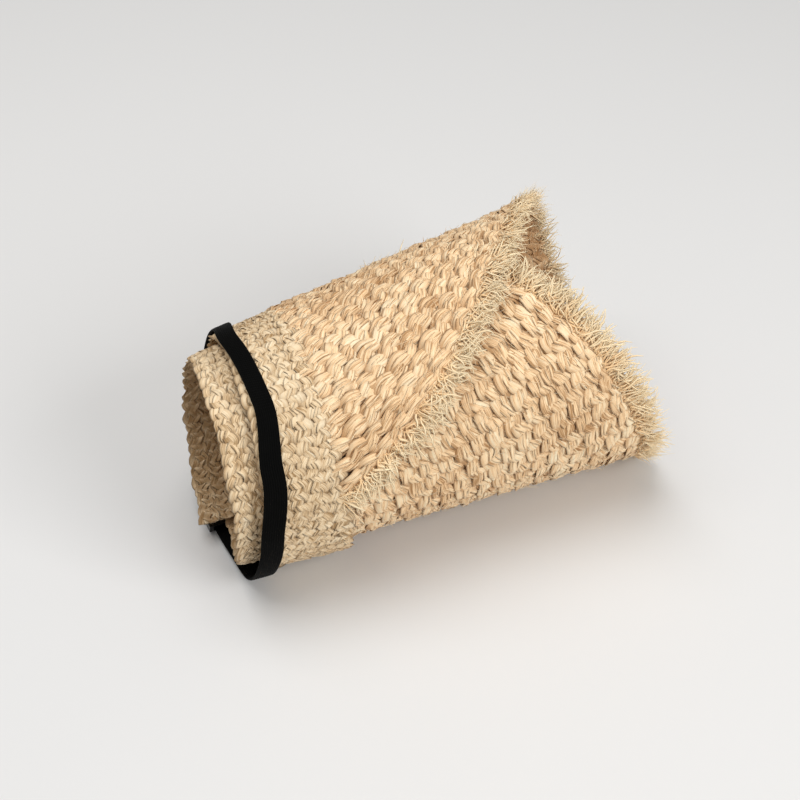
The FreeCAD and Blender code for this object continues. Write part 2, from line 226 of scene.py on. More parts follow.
class RolledSheet:
    """The flat visor rolled into a cone-shaped spiral.

    A place on it is a turn in degrees (0 top, 90 front, 180 bottom, 270 back, and on), a
    distance along the axis in metres and a height above the middle of the sheet.
    """

    def __init__(self, scene):
        self.roll = scene.visor_roll
        self.band = scene.visor_band
        self.brim = scene.visor_brim
        self.tie = scene.visor_strap
        self.band_width = self.band.braids * self.band.pitch
        self.band_start = math.degrees(self.band.start)
        self.band_stop = math.degrees(self.band.stop)
        self.middle = math.degrees(self.brim.middle)
        self.half_span = math.degrees(self.brim.half_span)
        self.crease = math.degrees(self.roll.crease)
        self.row_pitch = self.brim.width / self.brim.rows

    def radius(self, turn, along):
        """Radius of the sheet's middle: a cone plus a spiral plus the lifted outer corner."""
        span = math.degrees(self.band.lift_span)
        lift = self.band.lift * ease((turn - self.band_stop + span) / span)
        lift = lift * ease((along - self.band.held) / self.band.held)
        spiral = self.roll.turn_gap * (turn - self.middle) / 360
        return self.roll.roll_radius + self.roll.cone_rise * along + spiral + lift

    def flattened(self, turn, radius):
        """The radius cut back near the bottom: r (1 + (cos/cos limit)^n)^(-1/n)."""
        down = np.clip(np.cos(np.radians(turn - 180)), 0.0, None)
        sharp = self.roll.flat_sharpness
        limit = math.cos(self.roll.flat_angle)
        return radius * (1 + (down / limit) ** sharp) ** (-1 / sharp)

    def axis_height(self, along):
        """Height of the axis: the slider lifts the narrow end, the wide end is down."""
        bottom = self.flattened(180.0, self.radius(180.0, along) + self.roll.sheet_thick / 2)
        reach = self.band_width + self.brim.width
        share = 1 - (along - self.band.pitch) / (reach - self.band.pitch)
        return bottom + self.roll.end_lift * share

    def place(self, turn, along, radius):
        """Point at a radius from the axis."""
        around = np.radians(turn)
        return np.stack([along - ORIGIN[0], -radius * np.sin(around) - ORIGIN[1],
                         self.axis_height(along) + radius * np.cos(around) - ORIGIN[2]],
                        axis=-1)

    def point(self, turn, along, above):
        """Point at a height above the sheet's middle, with the sheet's gentle ripple.

        The straw is pressed flat on the floor: z becomes (z + sqrt(z^2 + 4 press^2)) / 2.
        """
        uneven = np.sin(along * 210 + turn * 0.021) * np.sin(along * 95 - turn * 0.043 + 1)
        uneven = self.roll.ripple * uneven * ease((along - 0.03) / 0.03)
        radius = self.radius(turn, along) + above + uneven
        place = self.place(turn, along, self.flattened(turn, radius))
        height = place[..., 2]
        place[..., 2] = (height + np.sqrt(height ** 2 + 4 * self.roll.press ** 2)) / 2
        return place

    def band_left(self, turn):
        """The headband's outer edge."""
        lean = self.roll.rim_tilt * (1 - np.sin(np.radians(turn)))
        return self.roll.turn_shift * (turn - 90) / 360 + lean

    def band_spread(self, turn):
        """The headband's width at a turn."""
        share = ease((turn - self.crease) / (self.band_stop - self.crease))
        return self.band_width + self.band.spread * share

    def band_line(self, turn, share):
        """Line at a share of the headband's width."""
        return self.band_left(turn) + share * self.band_spread(turn)

    def brim_line(self, turn, inset):
        """Line on the brim at a distance in from its edge."""
        half = self.half_span - self.brim.row_turn * inset
        fullness = np.clip(1 - ((turn - self.middle) / half) ** 2, 0, None) ** self.brim.power
        return self.band_line(turn, 1.0) + (self.brim.width - inset) * fullness

    def strap_middle(self, turn):
        """Middle line of the strap, which follows the outermost turn of the roll."""
        stops = np.array(STRAP_ROUTE)
        slot = np.clip(np.searchsorted(stops[:, 0], turn, side="left") - 1, 0,
                       len(stops) - 2)
        share = ease((turn - stops[slot, 0]) / (stops[slot + 1, 0] - stops[slot, 0]))
        along, extra = (stops[slot, 1:] + (stops[slot + 1, 1:] - stops[slot, 1:])
                        * share[:, None]).T
        above = self.roll.sheet_thick / 2 + self.tie.room + self.tie.thick / 2 + extra
        outer = self.radius(np.minimum(turn + 360, self.band_stop), along)
        inner = self.radius(turn, along)
        down = (turn - math.degrees(self.tie.leaves)) / math.degrees(self.tie.step_down)
        return along, self.flattened(turn, inner + (outer - inner) * (1 - ease(down)) + above)


class SheetPath:
    """A line on the sheet measured by its length, with the direction across it.

    The direction across is the tangent turned a quarter turn in the unrolled sheet, where
    one radian of turn is as long as the radius.  Stretch is the local row spacing over the
    usual one, and sink is how far the line dips under its neighbour.
    """

    def __init__(self, sheet, turns, alongs, stretch=None, sink=None):
        radius = sheet.radius(turns, alongs)
        around = np.diff(np.radians(turns)) * (radius[1:] + radius[:-1]) / 2
        step = np.hypot(around, np.diff(alongs))
        self.sheet = sheet
        self.measure = np.concatenate([[0.0], np.cumsum(step)])
        self.turns = turns
        self.alongs = alongs
        run_around = np.gradient(np.radians(turns), self.measure) * radius
        run_along = np.gradient(alongs, self.measure)
        size = np.hypot(run_around, run_along)
        self.out_turn = np.degrees(-run_along / size / radius)
        self.out_along = run_around / size
        self.stretch = np.ones_like(turns) if stretch is None else stretch
        self.sink = np.zeros_like(turns) if sink is None else sink

    def where(self, turn):
        """Length along the line at which it passes a turn."""
        return float(np.interp(turn, self.turns, self.measure))

    def onto(self, run, across, above):
        """Points at a run along the line, a distance across it and a height above it."""
        def read(values):
            return np.interp(run, self.measure, values)
        offset = across * read(self.stretch)
        return self.sheet.point(read(self.turns) + read(self.out_turn) * offset,
                                read(self.alongs) + read(self.out_along) * offset,
                                above - read(self.sink))


def band_path(sheet, share):
    """Middle line of one headband braid."""
    turns = np.linspace(sheet.band_start, sheet.band_stop, 900)
    stretch = sheet.band_spread(turns) / sheet.band_width
    return SheetPath(sheet, turns, sheet.band_line(turns, share), stretch)


def brim_path(sheet, inset, tuck=0.006, dip=0.0015):
    """Line of the brim at an inset, run on at both ends under the headband's edge."""
    half = sheet.half_span - sheet.brim.row_turn * inset
    turns = sheet.middle + half * np.sin(np.linspace(-1, 1, 2400) * np.pi / 2) * 0.9995
    alongs = sheet.brim_line(turns, inset)
    radius = sheet.radius(turns, alongs)
    pitch = sheet.row_pitch
    gap = sheet.brim_line(turns, inset - pitch / 2) - sheet.brim_line(turns, inset + pitch / 2)
    slope = np.gradient(alongs, np.radians(turns)) / radius
    stretch = np.clip(gap / np.sqrt(1 + slope ** 2) / pitch, 0.72, 1.2)
    ends = []
    for end, inner in ((0, 3), (-1, -4)):
        run = np.array([radius[end] * math.radians(turns[end] - turns[inner]),
                        alongs[end] - alongs[inner]])
        run = run / np.hypot(*run) * tuck
        steps = np.linspace(0.1, 1, 10)
        ends.append((turns[end] + np.degrees(run[0] / radius[end]) * steps,
                     alongs[end] + run[1] * steps, steps))
    (turn_a, along_a, step_a), (turn_b, along_b, step_b) = ends
    turns = np.concatenate([turn_a[::-1], turns, turn_b])
    alongs = np.concatenate([along_a[::-1], alongs, along_b])
    stretch = np.concatenate([np.full(10, stretch[0]), stretch, np.full(10, stretch[-1])])
    sink = np.concatenate([dip * ease(step_a[::-1]), np.zeros(2400), dip * ease(step_b)])
    order = np.argsort(turns, kind="stable")
    return SheetPath(sheet, turns[order], alongs[order], stretch[order], sink[order])


# ------------------------------------------------------------------ meshes
def tubes_mesh(name, tubes, marks, uvs=None):
    """Mesh of closed tubes from an array (tube, ring, point, 3); both ends are capped.

    marks are point attributes of the same grid, and uvs holds (tube, ring, point, 2) in
    millimetres, whose last column closes the tube one width further round.
    """
    tube_count, ring_count, point_count = tubes.shape[:3]
    grid = np.arange(tube_count * ring_count * point_count).reshape(tubes.shape[:3])
    after = np.roll(grid, -1, axis=2)
    quads = np.stack([grid[:, :-1], after[:, :-1], after[:, 1:], grid[:, 1:]], axis=-1)
    quads = quads.reshape(-1, 4)
    fan = np.arange(1, point_count - 1)
    caps = []
    for ring, order in ((0, (0, 2, 1)), (ring_count - 1, (0, 1, 2))):
        corners = np.stack([np.broadcast_to(grid[:, ring, :1], (tube_count, len(fan))),
                            grid[:, ring, fan], grid[:, ring, fan + 1]], axis=-1)
        caps.append(corners[..., order].reshape(-1, 3))
    caps = np.concatenate(caps)
    mesh = bpy.data.meshes.new(name)
    mesh.from_pydata(tubes.reshape(-1, 3), [], quads.tolist() + caps.tolist())
    mesh.polygons.foreach_set("use_smooth", np.ones(len(mesh.polygons), dtype=bool))
    for mark, values in marks.items():
        layer = mesh.attributes.new(mark, "FLOAT", "POINT")
        layer.data.foreach_set("value", np.broadcast_to(values, tubes.shape[:3])
                               .astype(np.float32).ravel())
    if uvs is not None:
        closed = np.concatenate([uvs, uvs[:, :, :1]], axis=2)
        closed[:, :, -1, 0] = 2 * uvs[:, :, -1, 0] - uvs[:, :, -2, 0]
        corners = np.stack([closed[:, :-1, :-1], closed[:, :-1, 1:], closed[:, 1:, 1:],
                            closed[:, 1:, :-1]], axis=-2).reshape(-1, 2)
        cap_uvs = uvs.reshape(-1, 2)[caps.ravel()]
        layer = mesh.uv_layers.new(name="UVMap")
        layer.data.foreach_set("uv", np.concatenate([corners, cap_uvs])
                               .astype(np.float32).ravel())
    mesh.update()
    return mesh


def place_piece(name, mesh, material, body, node=None):
    """Make the mesh a piece of the scene on its body; a flap piece is left without a body,
    with its transform baked in.
    """
    piece = bpy.data.objects.new(name, mesh)
    bpy.context.scene.collection.objects.link(piece)
    mesh.materials.clear()
    mesh.materials.append(material)
    if body == "flap":
        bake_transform(piece)
    else:
        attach(piece, body)
    if node:
        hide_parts(node)
    return piece


class Plait:
    """A flat braid of an odd number of strands, each a flat bundle of raffia ribbons.

    Strand i crosses the braid as arcsin(k sin p) and rises and dips as sin((n - 1) p), where
    the phase p grows by a full turn in one plait length and the strands are spaced evenly,
    so that at every crossing one strand is above and the other below.  A ribbon keeps its
    seat across the strand, on a low dome, and wanders and turns a little on its way.
    """
    CORNER = 0.90

    def __init__(self, sizes, width, rings_per_plait, ring_points, tilt):
        self.strands = sizes.strands
        self.ribbons = sizes.ribbons
        self.half_width = sizes.strand_width / 2
        self.half_thick = sizes.strand_thick / 2
        self.plait = sizes.plait
        self.sweep = (width - sizes.strand_width) / 2
        self.rise = sizes.strand_thick * 0.46
        self.ring_step = sizes.plait / rings_per_plait
        self.ring_points = ring_points
        self.tilt = tilt

    def weave(self, path, start, stop, seed):
        """Vertex grid, point marks and millimetre UVs of the ribbons between two runs."""
        rng = np.random.default_rng(seed)
        rings = max(6, int((stop - start) / self.ring_step))
        run = np.linspace(start, stop, rings)
        warp = wander(rng, run, 0.09, 0.05)
        sway = wander(rng, run, 0.05, 0.00020)
        around = np.linspace(0, 2 * np.pi, self.ring_points, endpoint=False)
        side = np.sign(np.cos(around)) * np.abs(np.cos(around)) ** 0.8
        rows = []
        for strand in range(self.strands):
            phase = 2 * np.pi * (run / self.plait + warp + strand / self.strands)
            phase = phase + wander(rng, run, 0.03, 0.10)
            cross = self.sweep * np.arcsin(self.CORNER * np.sin(phase)) \
                / math.asin(self.CORNER)
            cross = cross + sway + wander(rng, run, 0.014, 0.00014)
            crest = np.sin((self.strands - 1) * phase)
            height = self.rise * crest + wander(rng, run, 0.014, 0.00010)
            wide = self.half_width * (0.93 + 0.13 * crest + wander(rng, run, 0.016, 0.06))
            thick = self.half_thick * (1.0 + wander(rng, run, 0.02, 0.08))
            slope = np.gradient(cross, run)
            size = np.sqrt(1 + slope ** 2)
            bank = -0.16 * np.cos((self.strands - 1) * phase) * np.sign(slope)
            strand_tone = 0.5 + wander(rng, run, 0.05, 0.035) + rng.normal(0, 0.02)
            for ribbon in range(self.ribbons):
                seat = (2 * ribbon + 1) / self.ribbons - 1 + wander(rng, run, 0.022, 0.13)
                local = wide * (1.6 / self.ribbons + wander(rng, run, 0.03, 0.05))
                lateral = (wide * 0.80 * seat)[:, None] + local[:, None] * side
                lean = wander(rng, run, 0.016, 0.17) - 0.25 * seat
                up = thick * (0.22 * (1 - seat ** 2) + wander(rng, run, 0.02, 0.16))
                up = up[:, None] + (0.44 * thick)[:, None] * np.sin(around) \
                    + local[:, None] * side * lean[:, None] + lateral * bank[:, None]
                across = cross[:, None] + lateral / size[:, None]
                points = path.onto(run[:, None] - (slope / size)[:, None] * lateral, across,
                                   height[:, None] + up + self.tilt * across)
                tone = np.repeat((strand_tone + rng.normal(0, 0.035))[:, None],
                                 self.ring_points, axis=1)
                # Painted shade: the straw is darker where the strand dips under its neighbour
                # and towards the strand's edges; it is kept as the crest mark.
                reach = np.clip(np.abs(lateral) / wide[:, None], 0, 1.2)
                lit = ease(0.55 + 0.55 * crest)[:, None] * (1 - 0.6 * reach ** 3)
                uv = np.stack(np.broadcast_arrays(
                    around[None, :] / (2 * np.pi) * 5.0 * self.half_width / MILLI
                    + 400 * rng.uniform(),
                    run[:, None] / MILLI + 400 * rng.uniform()), axis=-1)
                rows.append((points, tone, lit, uv))
        tubes, tones, painted_shading, uvs = (np.stack(column) for column in zip(*rows))
        return tubes, {"tone": tones, "crest": painted_shading}, uvs


def braid_pieces(plait, path, name, node, material, start, stop, seed):
    """One braid as a piece on the roll and, past the split, a second piece on the flap."""
    split = path.where(SPLIT_TURN)
    parts = [("roll", start, min(stop, split), name, node)]
    if stop > split + 0.004:
        flap_node = "flap_" + node
        parts.append(("flap", split, stop, "flap_" + name,
                      flap_node if flap_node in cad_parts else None))
    for body, begin, end, piece_name, piece_node in parts:
        tubes, marks, uvs = plait.weave(path, begin, end, seed)
        mesh = tubes_mesh(piece_name, tubes, marks, uvs)
        place_piece(piece_name, mesh, material, body, piece_node)


# ------------------------------------------------------------------ materials
class Shader:
    """A material's or group's node tree, with short ways to add and join nodes."""

    def __init__(self, tree):
        self.tree = tree

    def node(self, kind, **inputs):
        """Add a node; inputs are set by name, and a socket given as a value is joined."""
        made = self.tree.nodes.new(kind)
        for name, value in inputs.items():
            self.feed(made.inputs[name.replace("_", " ")], value)
        return made

    def feed(self, socket, value):
        if isinstance(value, bpy.types.NodeSocket):
            self.tree.links.new(value, socket)
        else:
            socket.default_value = value

    def maths(self, operation, first, second=0.5):
        made = self.tree.nodes.new("ShaderNodeMath")
        made.operation = operation
        self.feed(made.inputs[0], first)
        self.feed(made.inputs[1], second)
        return made.outputs[0]

    def vector(self, across, along, third=0.0):
        return self.node("ShaderNodeCombineXYZ", X=across, Y=along, Z=third).outputs[0]

    def noise(self, vector, scale, detail=2.0, roughness=0.5):
        made = self.node("ShaderNodeTexNoise", Vector=vector, Scale=scale, Detail=detail,
                         Roughness=roughness)
        return made.outputs["Fac"]

    def ramp(self, factor, stops):
        made = self.tree.nodes.new("ShaderNodeValToRGB")
        while len(made.color_ramp.elements) < len(stops):
            made.color_ramp.elements.new(0.5)
        for element, (place, tint) in zip(made.color_ramp.elements, stops):
            element.position = place
            element.color = (*tint, 1.0)
        self.feed(made.inputs["Fac"], factor)
        return made.outputs["Color"]

    def mix(self, factor, first, second, blend="MIX"):
        made = self.tree.nodes.new("ShaderNodeMix")
        made.data_type = "RGBA"
        made.blend_type = blend
        self.feed(made.inputs[0], factor)
        for socket, value in ((made.inputs[6], first), (made.inputs[7], second)):
            self.feed(socket, value if isinstance(value, bpy.types.NodeSocket)
                      else (*value, 1.0))
        return made.outputs[2]

    def attribute(self, name):
        made = self.tree.nodes.new("ShaderNodeAttribute")
        made.attribute_name = name
        return made.outputs["Fac"]

    def ranged(self, value, low, high):
        """Map 0..1 to low..high."""
        made = self.node("ShaderNodeMapRange", Value=value)
        made.inputs["To Min"].default_value = low
        made.inputs["To Max"].default_value = high
        return made.outputs[0]


def new_material(name, **constants):
    """A Principled material with its constant values set on the shader's own sockets."""
    material = bpy.data.materials.new(name)
    material.use_nodes = True
    principled = material.node_tree.nodes["Principled BSDF"]
    for socket, value in constants.items():
        principled.inputs[socket.replace("_", " ")].default_value = value
    return material, Shader(material.node_tree), principled


def fibre_group():
    """Straw fibres: streaks that run along a strand, from its millimetre UVs.

    Fine is noise stretched along the strand, coarse is the same three times as wide, and
    height adds them for the bump.
    """
    name = "Straw fibres"
    if name in bpy.data.node_groups:
        return bpy.data.node_groups[name]
    group = bpy.data.node_groups.new(name, "ShaderNodeTree")
    for label, value in (("Across", 0.0), ("Along", 0.0), ("Fibre width", 0.3),
                         ("Fibre length", 9.0)):
        socket = group.interface.new_socket(label, in_out="INPUT",
                                            socket_type="NodeSocketFloat")
        socket.default_value = value
    for label in ("Fine", "Coarse", "Height"):
        group.interface.new_socket(label, in_out="OUTPUT", socket_type="NodeSocketFloat")
    shader = Shader(group)
    given = group.nodes.new("NodeGroupInput").outputs
    out = group.nodes.new("NodeGroupOutput").inputs
    across = shader.maths("DIVIDE", given["Across"], given["Fibre width"])
    along = shader.maths("DIVIDE", given["Along"], given["Fibre length"])
    fine = shader.noise(shader.vector(across, along), 1.0, 3.0, 0.65)
    wide = shader.maths("MULTIPLY", across, 0.3)
    coarse = shader.noise(shader.vector(wide, shader.maths("MULTIPLY", along, 0.7), 7.0),
                          1.0, 2.0, 0.5)
    shader.feed(out["Fine"], fine)
    shader.feed(out["Coarse"], coarse)
    shader.feed(out["Height"], shader.maths("ADD", shader.maths("MULTIPLY", fine, 0.55),
                                            shader.maths("MULTIPLY", coarse, 0.45)))
    return group


def use_fibres(shader, fibre_width, fibre_length):
    """Put the fibre group on the piece's UV map and return its three outputs."""
    uv = shader.node("ShaderNodeUVMap").outputs["UV"]
    parts = shader.node("ShaderNodeSeparateXYZ", Vector=uv).outputs
    made = shader.tree.nodes.new("ShaderNodeGroup")
    made.node_tree = fibre_group()
    shader.feed(made.inputs["Across"], parts["X"])
    shader.feed(made.inputs["Along"], parts["Y"])
    made.inputs["Fibre width"].default_value = fibre_width
    made.inputs["Fibre length"].default_value = fibre_length
    return made.outputs["Fine"], made.outputs["Coarse"], made.outputs["Height"]


def straw_material(name, dark, mid, pale, fibre_width):
    """Raffia: streaked fibres, tone by strand, and painted shade towards the dark colour in
    the plait's dips and at strand edges.
    """
    if name in bpy.data.materials:
        return bpy.data.materials[name]
    material, shader, principled = new_material(name, Sheen_Weight=0.08,
                                                Specular_IOR_Level=0.35)
    fine, coarse, height = use_fibres(shader, fibre_width, 8.0)
    tone = shader.attribute("tone")
    place = shader.node("ShaderNodeTexCoord").outputs["Object"]
    patches = shader.noise(place, 28.0, 2.0)
    value = shader.maths("ADD", fine, shader.maths("MULTIPLY", coarse, 0.9))
    value = shader.maths("ADD", value, shader.maths("SUBTRACT", tone, 0.95))
    value = shader.maths("ADD", value, shader.maths(
        "MULTIPLY", shader.maths("SUBTRACT", patches, 0.5), 0.35))
    straw = shader.ramp(value, ((0.26, dark), (0.38, [0.45 * a + 0.55 * b for a, b in
                                                      zip(dark, mid)]),
                                (0.48, mid), (0.78, pale)))
    # The crest mark is painted shade: the straw is mixed towards the dark colour in the
    # plait's dips and at strand edges.
    crest = shader.attribute("crest")
    shade = shader.ranged(shader.maths("POWER", crest, 0.7), 0.85, 0.0)
    shader.feed(principled.inputs["Base Color"],
                shader.mix(shade, straw, dark))
    shader.feed(principled.inputs["Roughness"], shader.ranged(fine, 0.72, 0.48))
    bump = shader.node("ShaderNodeBump", Strength=1.0, Distance=0.00038, Height=height)
    shader.feed(principled.inputs["Normal"], bump.outputs["Normal"])
    return material


def fringe_material(name, root, tip):
    """Frayed ends: brown at the root and pale at the tip, each blade with its own tone."""
    if name in bpy.data.materials:
        return bpy.data.materials[name]
    material, shader, principled = new_material(name, Roughness=0.62, Sheen_Weight=0.1,
                                                Specular_IOR_Level=0.3)
    reach = shader.attribute("reach")
    tone = shader.attribute("tone")
    value = shader.maths("ADD", reach, shader.maths("MULTIPLY",
                                                    shader.maths("SUBTRACT", tone, 0.5), 0.9))
    middle = [0.4 * a + 0.6 * b for a, b in zip(root, tip)]
    tint = shader.ramp(value, ((0.0, root), (0.35, middle), (0.75, tip)))
    shader.feed(principled.inputs["Base Color"], tint)
    return material


def elastic_material(tint):
    """Black ribbed elastic: fine rows of knitting across the ribs."""
    name = "Black elastic"
    if name in bpy.data.materials:
        return bpy.data.materials[name]
    material, shader, principled = new_material(name, Specular_IOR_Level=0.06)
    place = shader.node("ShaderNodeTexCoord").outputs["Object"]
    knit = shader.noise(place, 1600.0, 1.0)
    soft = shader.noise(place, 160.0, 2.0)
    lighter = [3.0 * value for value in tint]
    shader.feed(principled.inputs["Base Color"], shader.mix(knit, tint, lighter))
    shader.feed(principled.inputs["Roughness"], shader.ranged(soft, 0.62, 0.85))
    bump = shader.node("ShaderNodeBump", Strength=0.5, Distance=0.0002, Height=knit)
    shader.feed(principled.inputs["Normal"], bump.outputs["Normal"])
    return material


def plastic_material(tint):
    """Moulded black plastic with a faint mould grain and scuffs."""
    name = "Black plastic"
    if name in bpy.data.materials:
        return bpy.data.materials[name]
    material, shader, principled = new_material(name, Specular_IOR_Level=0.5)
    place = shader.node("ShaderNodeTexCoord").outputs["Object"]
    grain = shader.noise(place, 2600.0, 2.0)
    scuff = shader.noise(place, 240.0, 4.0, 0.7)
    worn = [value * 3.0 for value in tint]
    shader.feed(principled.inputs["Base Color"], shader.mix(scuff, tint, worn))
    shader.feed(principled.inputs["Roughness"], shader.ranged(scuff, 0.22, 0.42))
    bump = shader.node("ShaderNodeBump", Strength=0.25, Distance=0.0001, Height=grain)
    shader.feed(principled.inputs["Normal"], bump.outputs["Normal"])
    return material


def thread_material(tint):
    """Clear nylon sewing thread, a little milky."""
    name = "Nylon thread"
    if name in bpy.data.materials:
        return bpy.data.materials[name]
    material, shader, principled = new_material(name, Roughness=0.5)
    place = shader.node("ShaderNodeTexCoord").outputs["Object"]
    cloud = shader.noise(place, 300.0, 2.0)
    shader.feed(principled.inputs["Base Color"],
                shader.mix(cloud, tint, [value * 0.7 for value in tint]))
    return material


def floor_material(tint):
    """Pale table top with a very faint mottle."""
    material, shader, principled = new_material("Pale floor", Specular_IOR_Level=0.3)
    place = shader.node("ShaderNodeTexCoord").outputs["Object"]
    mottle = shader.noise(place, 9.0, 4.0)
    shader.feed(principled.inputs["Base Color"],
                shader.mix(mottle, tint, [value * 0.985 for value in tint]))
    shader.feed(principled.inputs["Roughness"], shader.ranged(mottle, 0.55, 0.7))
    return material


# ------------------------------------------------------------------ loose straw and thread
def hair_tubes(path, root, lean, reach, climb, curl, sway, width, flat, rings):
    """Thin tapered blades with three-sided sections, one for each entry of the arrays.

    A blade starts at root (run, across, above), goes reach metres in the sheet at the angle
    lean from straight outwards, climbs linearly by climb and bends by curl and sway as the
    square of the distance, with a sine added to the sway so that it runs in an S; its half
    width shrinks to a quarter at the tip.
    """
    share = np.linspace(0, 1, rings)[None, :]
    run = root[0][:, None] + (reach * np.sin(lean))[:, None] * share \
        + sway[:, None] * (share ** 2 + 0.3 * np.sin(2 * np.pi * share))
    across = root[1][:, None] + (reach * np.cos(lean))[:, None] * share
    above = root[2][:, None] + climb[:, None] * share + curl[:, None] * share ** 2
    half = width[:, None] * (1 - 0.75 * share ** 2) / 2
    corner = np.radians([90, 210, 330])
    wide = half[..., None] * np.cos(corner)
    tall = half[..., None] * np.sin(corner) * flat
    turned_run = wide * np.cos(lean)[:, None, None]
    turned_across = -wide * np.sin(lean)[:, None, None]
    points = path.onto(run[..., None] + turned_run, across[..., None] + turned_across,
                       above[..., None] + tall)
    return points, np.broadcast_to(share[..., None], points.shape[:3])


def split_hairs(name, path, root_run, tubes, marks, material, node):
    """Make blades pieces of the roll or the flap by the turn at which they start."""
    split = path.where(SPLIT_TURN)
    for body, chosen, prefix in (("roll", root_run < split, ""),
                                 ("flap", root_run >= split, "flap_")):
        if not chosen.any():
            continue
        picked = {mark: np.broadcast_to(values, tubes.shape[:3])[chosen]
                  for mark, values in marks.items()}
        mesh = tubes_mesh(prefix + name, tubes[chosen], picked)
        place_piece(prefix + name, mesh, material, body,
                    prefix + node if node else None)


def sheet_now():
    return RolledSheet(bpy.context.scene)


# ------------------------------------------------------------------ operators
class VISOR_OT_headband(bpy.types.Operator):
    """Plait the headband's fine braids"""
    bl_idname = "visor.headband"
    bl_label = "Headband"

    def execute(self, context):
        sheet, tints = sheet_now(), context.scene.visor_colours
        material = straw_material("Headband straw", tints.band_streak_and_shade, tints.band_mid,
                                  tints.band_pale, 0.42)
        plait = Plait(sheet.band, sheet.band.pitch * BAND_LAP, BAND_RINGS, RING_POINTS,
                      BAND_TILT)
        for number in range(sheet.band.braids):
            path = band_path(sheet, (number + 0.5) / sheet.band.braids)
            braid_pieces(plait, path, f"band_plait_{number + 1}", f"band_braid_{number + 1}",
                         material, 0.0, float(path.measure[-1]),
                         40 + number)
        return {"FINISHED"}


class VISOR_OT_brim(bpy.types.Operator):
    """Plait the brim's braid rows"""
    bl_idname = "visor.brim"
    bl_label = "Brim"

    def execute(self, context):
        sheet, tints = sheet_now(), context.scene.visor_colours
        material = straw_material("Brim straw", tints.brim_streak_and_shade, tints.brim_mid,
                                  tints.brim_pale, 0.55)
        plait = Plait(sheet.brim, sheet.row_pitch * BRIM_LAP, BRIM_RINGS, RING_POINTS,
                      BRIM_TILT)
        for number in range(sheet.brim.rows):
            path = brim_path(sheet, (number + 0.5) * sheet.row_pitch)
            braid_pieces(plait, path, f"brim_plait_{number + 1:02d}",
                         f"brim_braid_{number + 1:02d}", material,
                         0.0, float(path.measure[-1]), 100 + number)
        return {"FINISHED"}


class VISOR_OT_fringe(bpy.types.Operator):
    """Fray the brim's edge into a fringe of straw ends"""
    bl_idname = "visor.fringe"
    bl_label = "Fringe"

    def execute(self, context):
        sheet, tints = sheet_now(), context.scene.visor_colours
        material = fringe_material("Frayed straw", tints.fringe_root, tints.fringe_tip)
        rng = np.random.default_rng(7)
        path = brim_path(sheet, 0.0)
        total = float(path.measure[-1])
        tufts = int(total / sheet.brim.tuft_gap)
        blades = sheet.brim.tuft_blades
        shape = (tufts, blades)

        def each(centre, tuft_spread, blade_spread):
            """Random values that the blades of a tuft share in part."""
            values = rng.normal(centre, tuft_spread, (tufts, 1))
            return (values + rng.normal(0, blade_spread, shape)).ravel()

        run = (np.linspace(0.004, total - 0.004, tufts)[:, None]
               + rng.normal(0, 0.0011, shape)).ravel()
        across = rng.uniform(-0.0042, 0.0004, shape).ravel()
        above = rng.normal(0.0005, 0.0007, shape).ravel()
        lean = each(0.0, 0.34, 0.42)
        reach = sheet.brim.fringe * np.clip(each(0.72, 0.12, 0.20), 0.3, 1.1)
        climb = each(0.0007, 0.0010, 0.0012)
        curl = each(0.0002, 0.0012, 0.0017)
        sway = each(0.0, 0.0012, 0.0018)
        width = rng.uniform(0.0005, 0.0015, shape).ravel()
        tubes, share = hair_tubes(path, (run, across, above), lean, reach, climb, curl, sway,
                                  width, 0.22, 7)
        tone = np.clip(each(0.5, 0.10, 0.14), 0, 1)[:, None, None]
        split_hairs("fringe_ends", path, run, tubes, {"reach": share, "tone": tone},
                    material, "brim_fringe")
        return {"FINISHED"}


class VISOR_OT_thread(bpy.types.Operator):
    """Sew the rows together with small stitches"""
    bl_idname = "visor.thread"
    bl_label = "Sewing thread"

    def execute(self, context):
        sheet, tints = sheet_now(), context.scene.visor_colours
        material = thread_material(tints.thread)
        rng = np.random.default_rng(21)
        gathered = {"roll": [], "flap": []}
        for number in range(1, sheet.brim.rows):
            path = brim_path(sheet, number * sheet.row_pitch)
            total = float(path.measure[-1])
            run = np.arange(0.012, total - 0.012, STITCH_GAP)
            if len(run) < 2:
                continue
            run = run + rng.normal(0, 0.0015, run.shape)
            lean = rng.normal(0.5, 0.35, run.shape)
            reach = rng.uniform(0.0028, 0.0045, run.shape)
            base = np.full_like(run, 0.0014)
            tubes, _ = hair_tubes(path, (run, -0.5 * reach, base), lean, reach,
                                  rng.uniform(0.0012, 0.0020, run.shape),
                                  rng.uniform(-0.0022, -0.0015, run.shape),
                                  np.zeros_like(run), np.full_like(run, 0.00022), 1.0, 6)
            flap = run >= path.where(SPLIT_TURN)
            gathered["roll"].append(tubes[~flap])
            gathered["flap"].append(tubes[flap])
        for body, name in (("roll", "row_stitches"), ("flap", "flap_row_stitches")):
            mesh = tubes_mesh(name, np.concatenate(gathered[body]), {})
            place_piece(name, mesh, material, body)
        return {"FINISHED"}


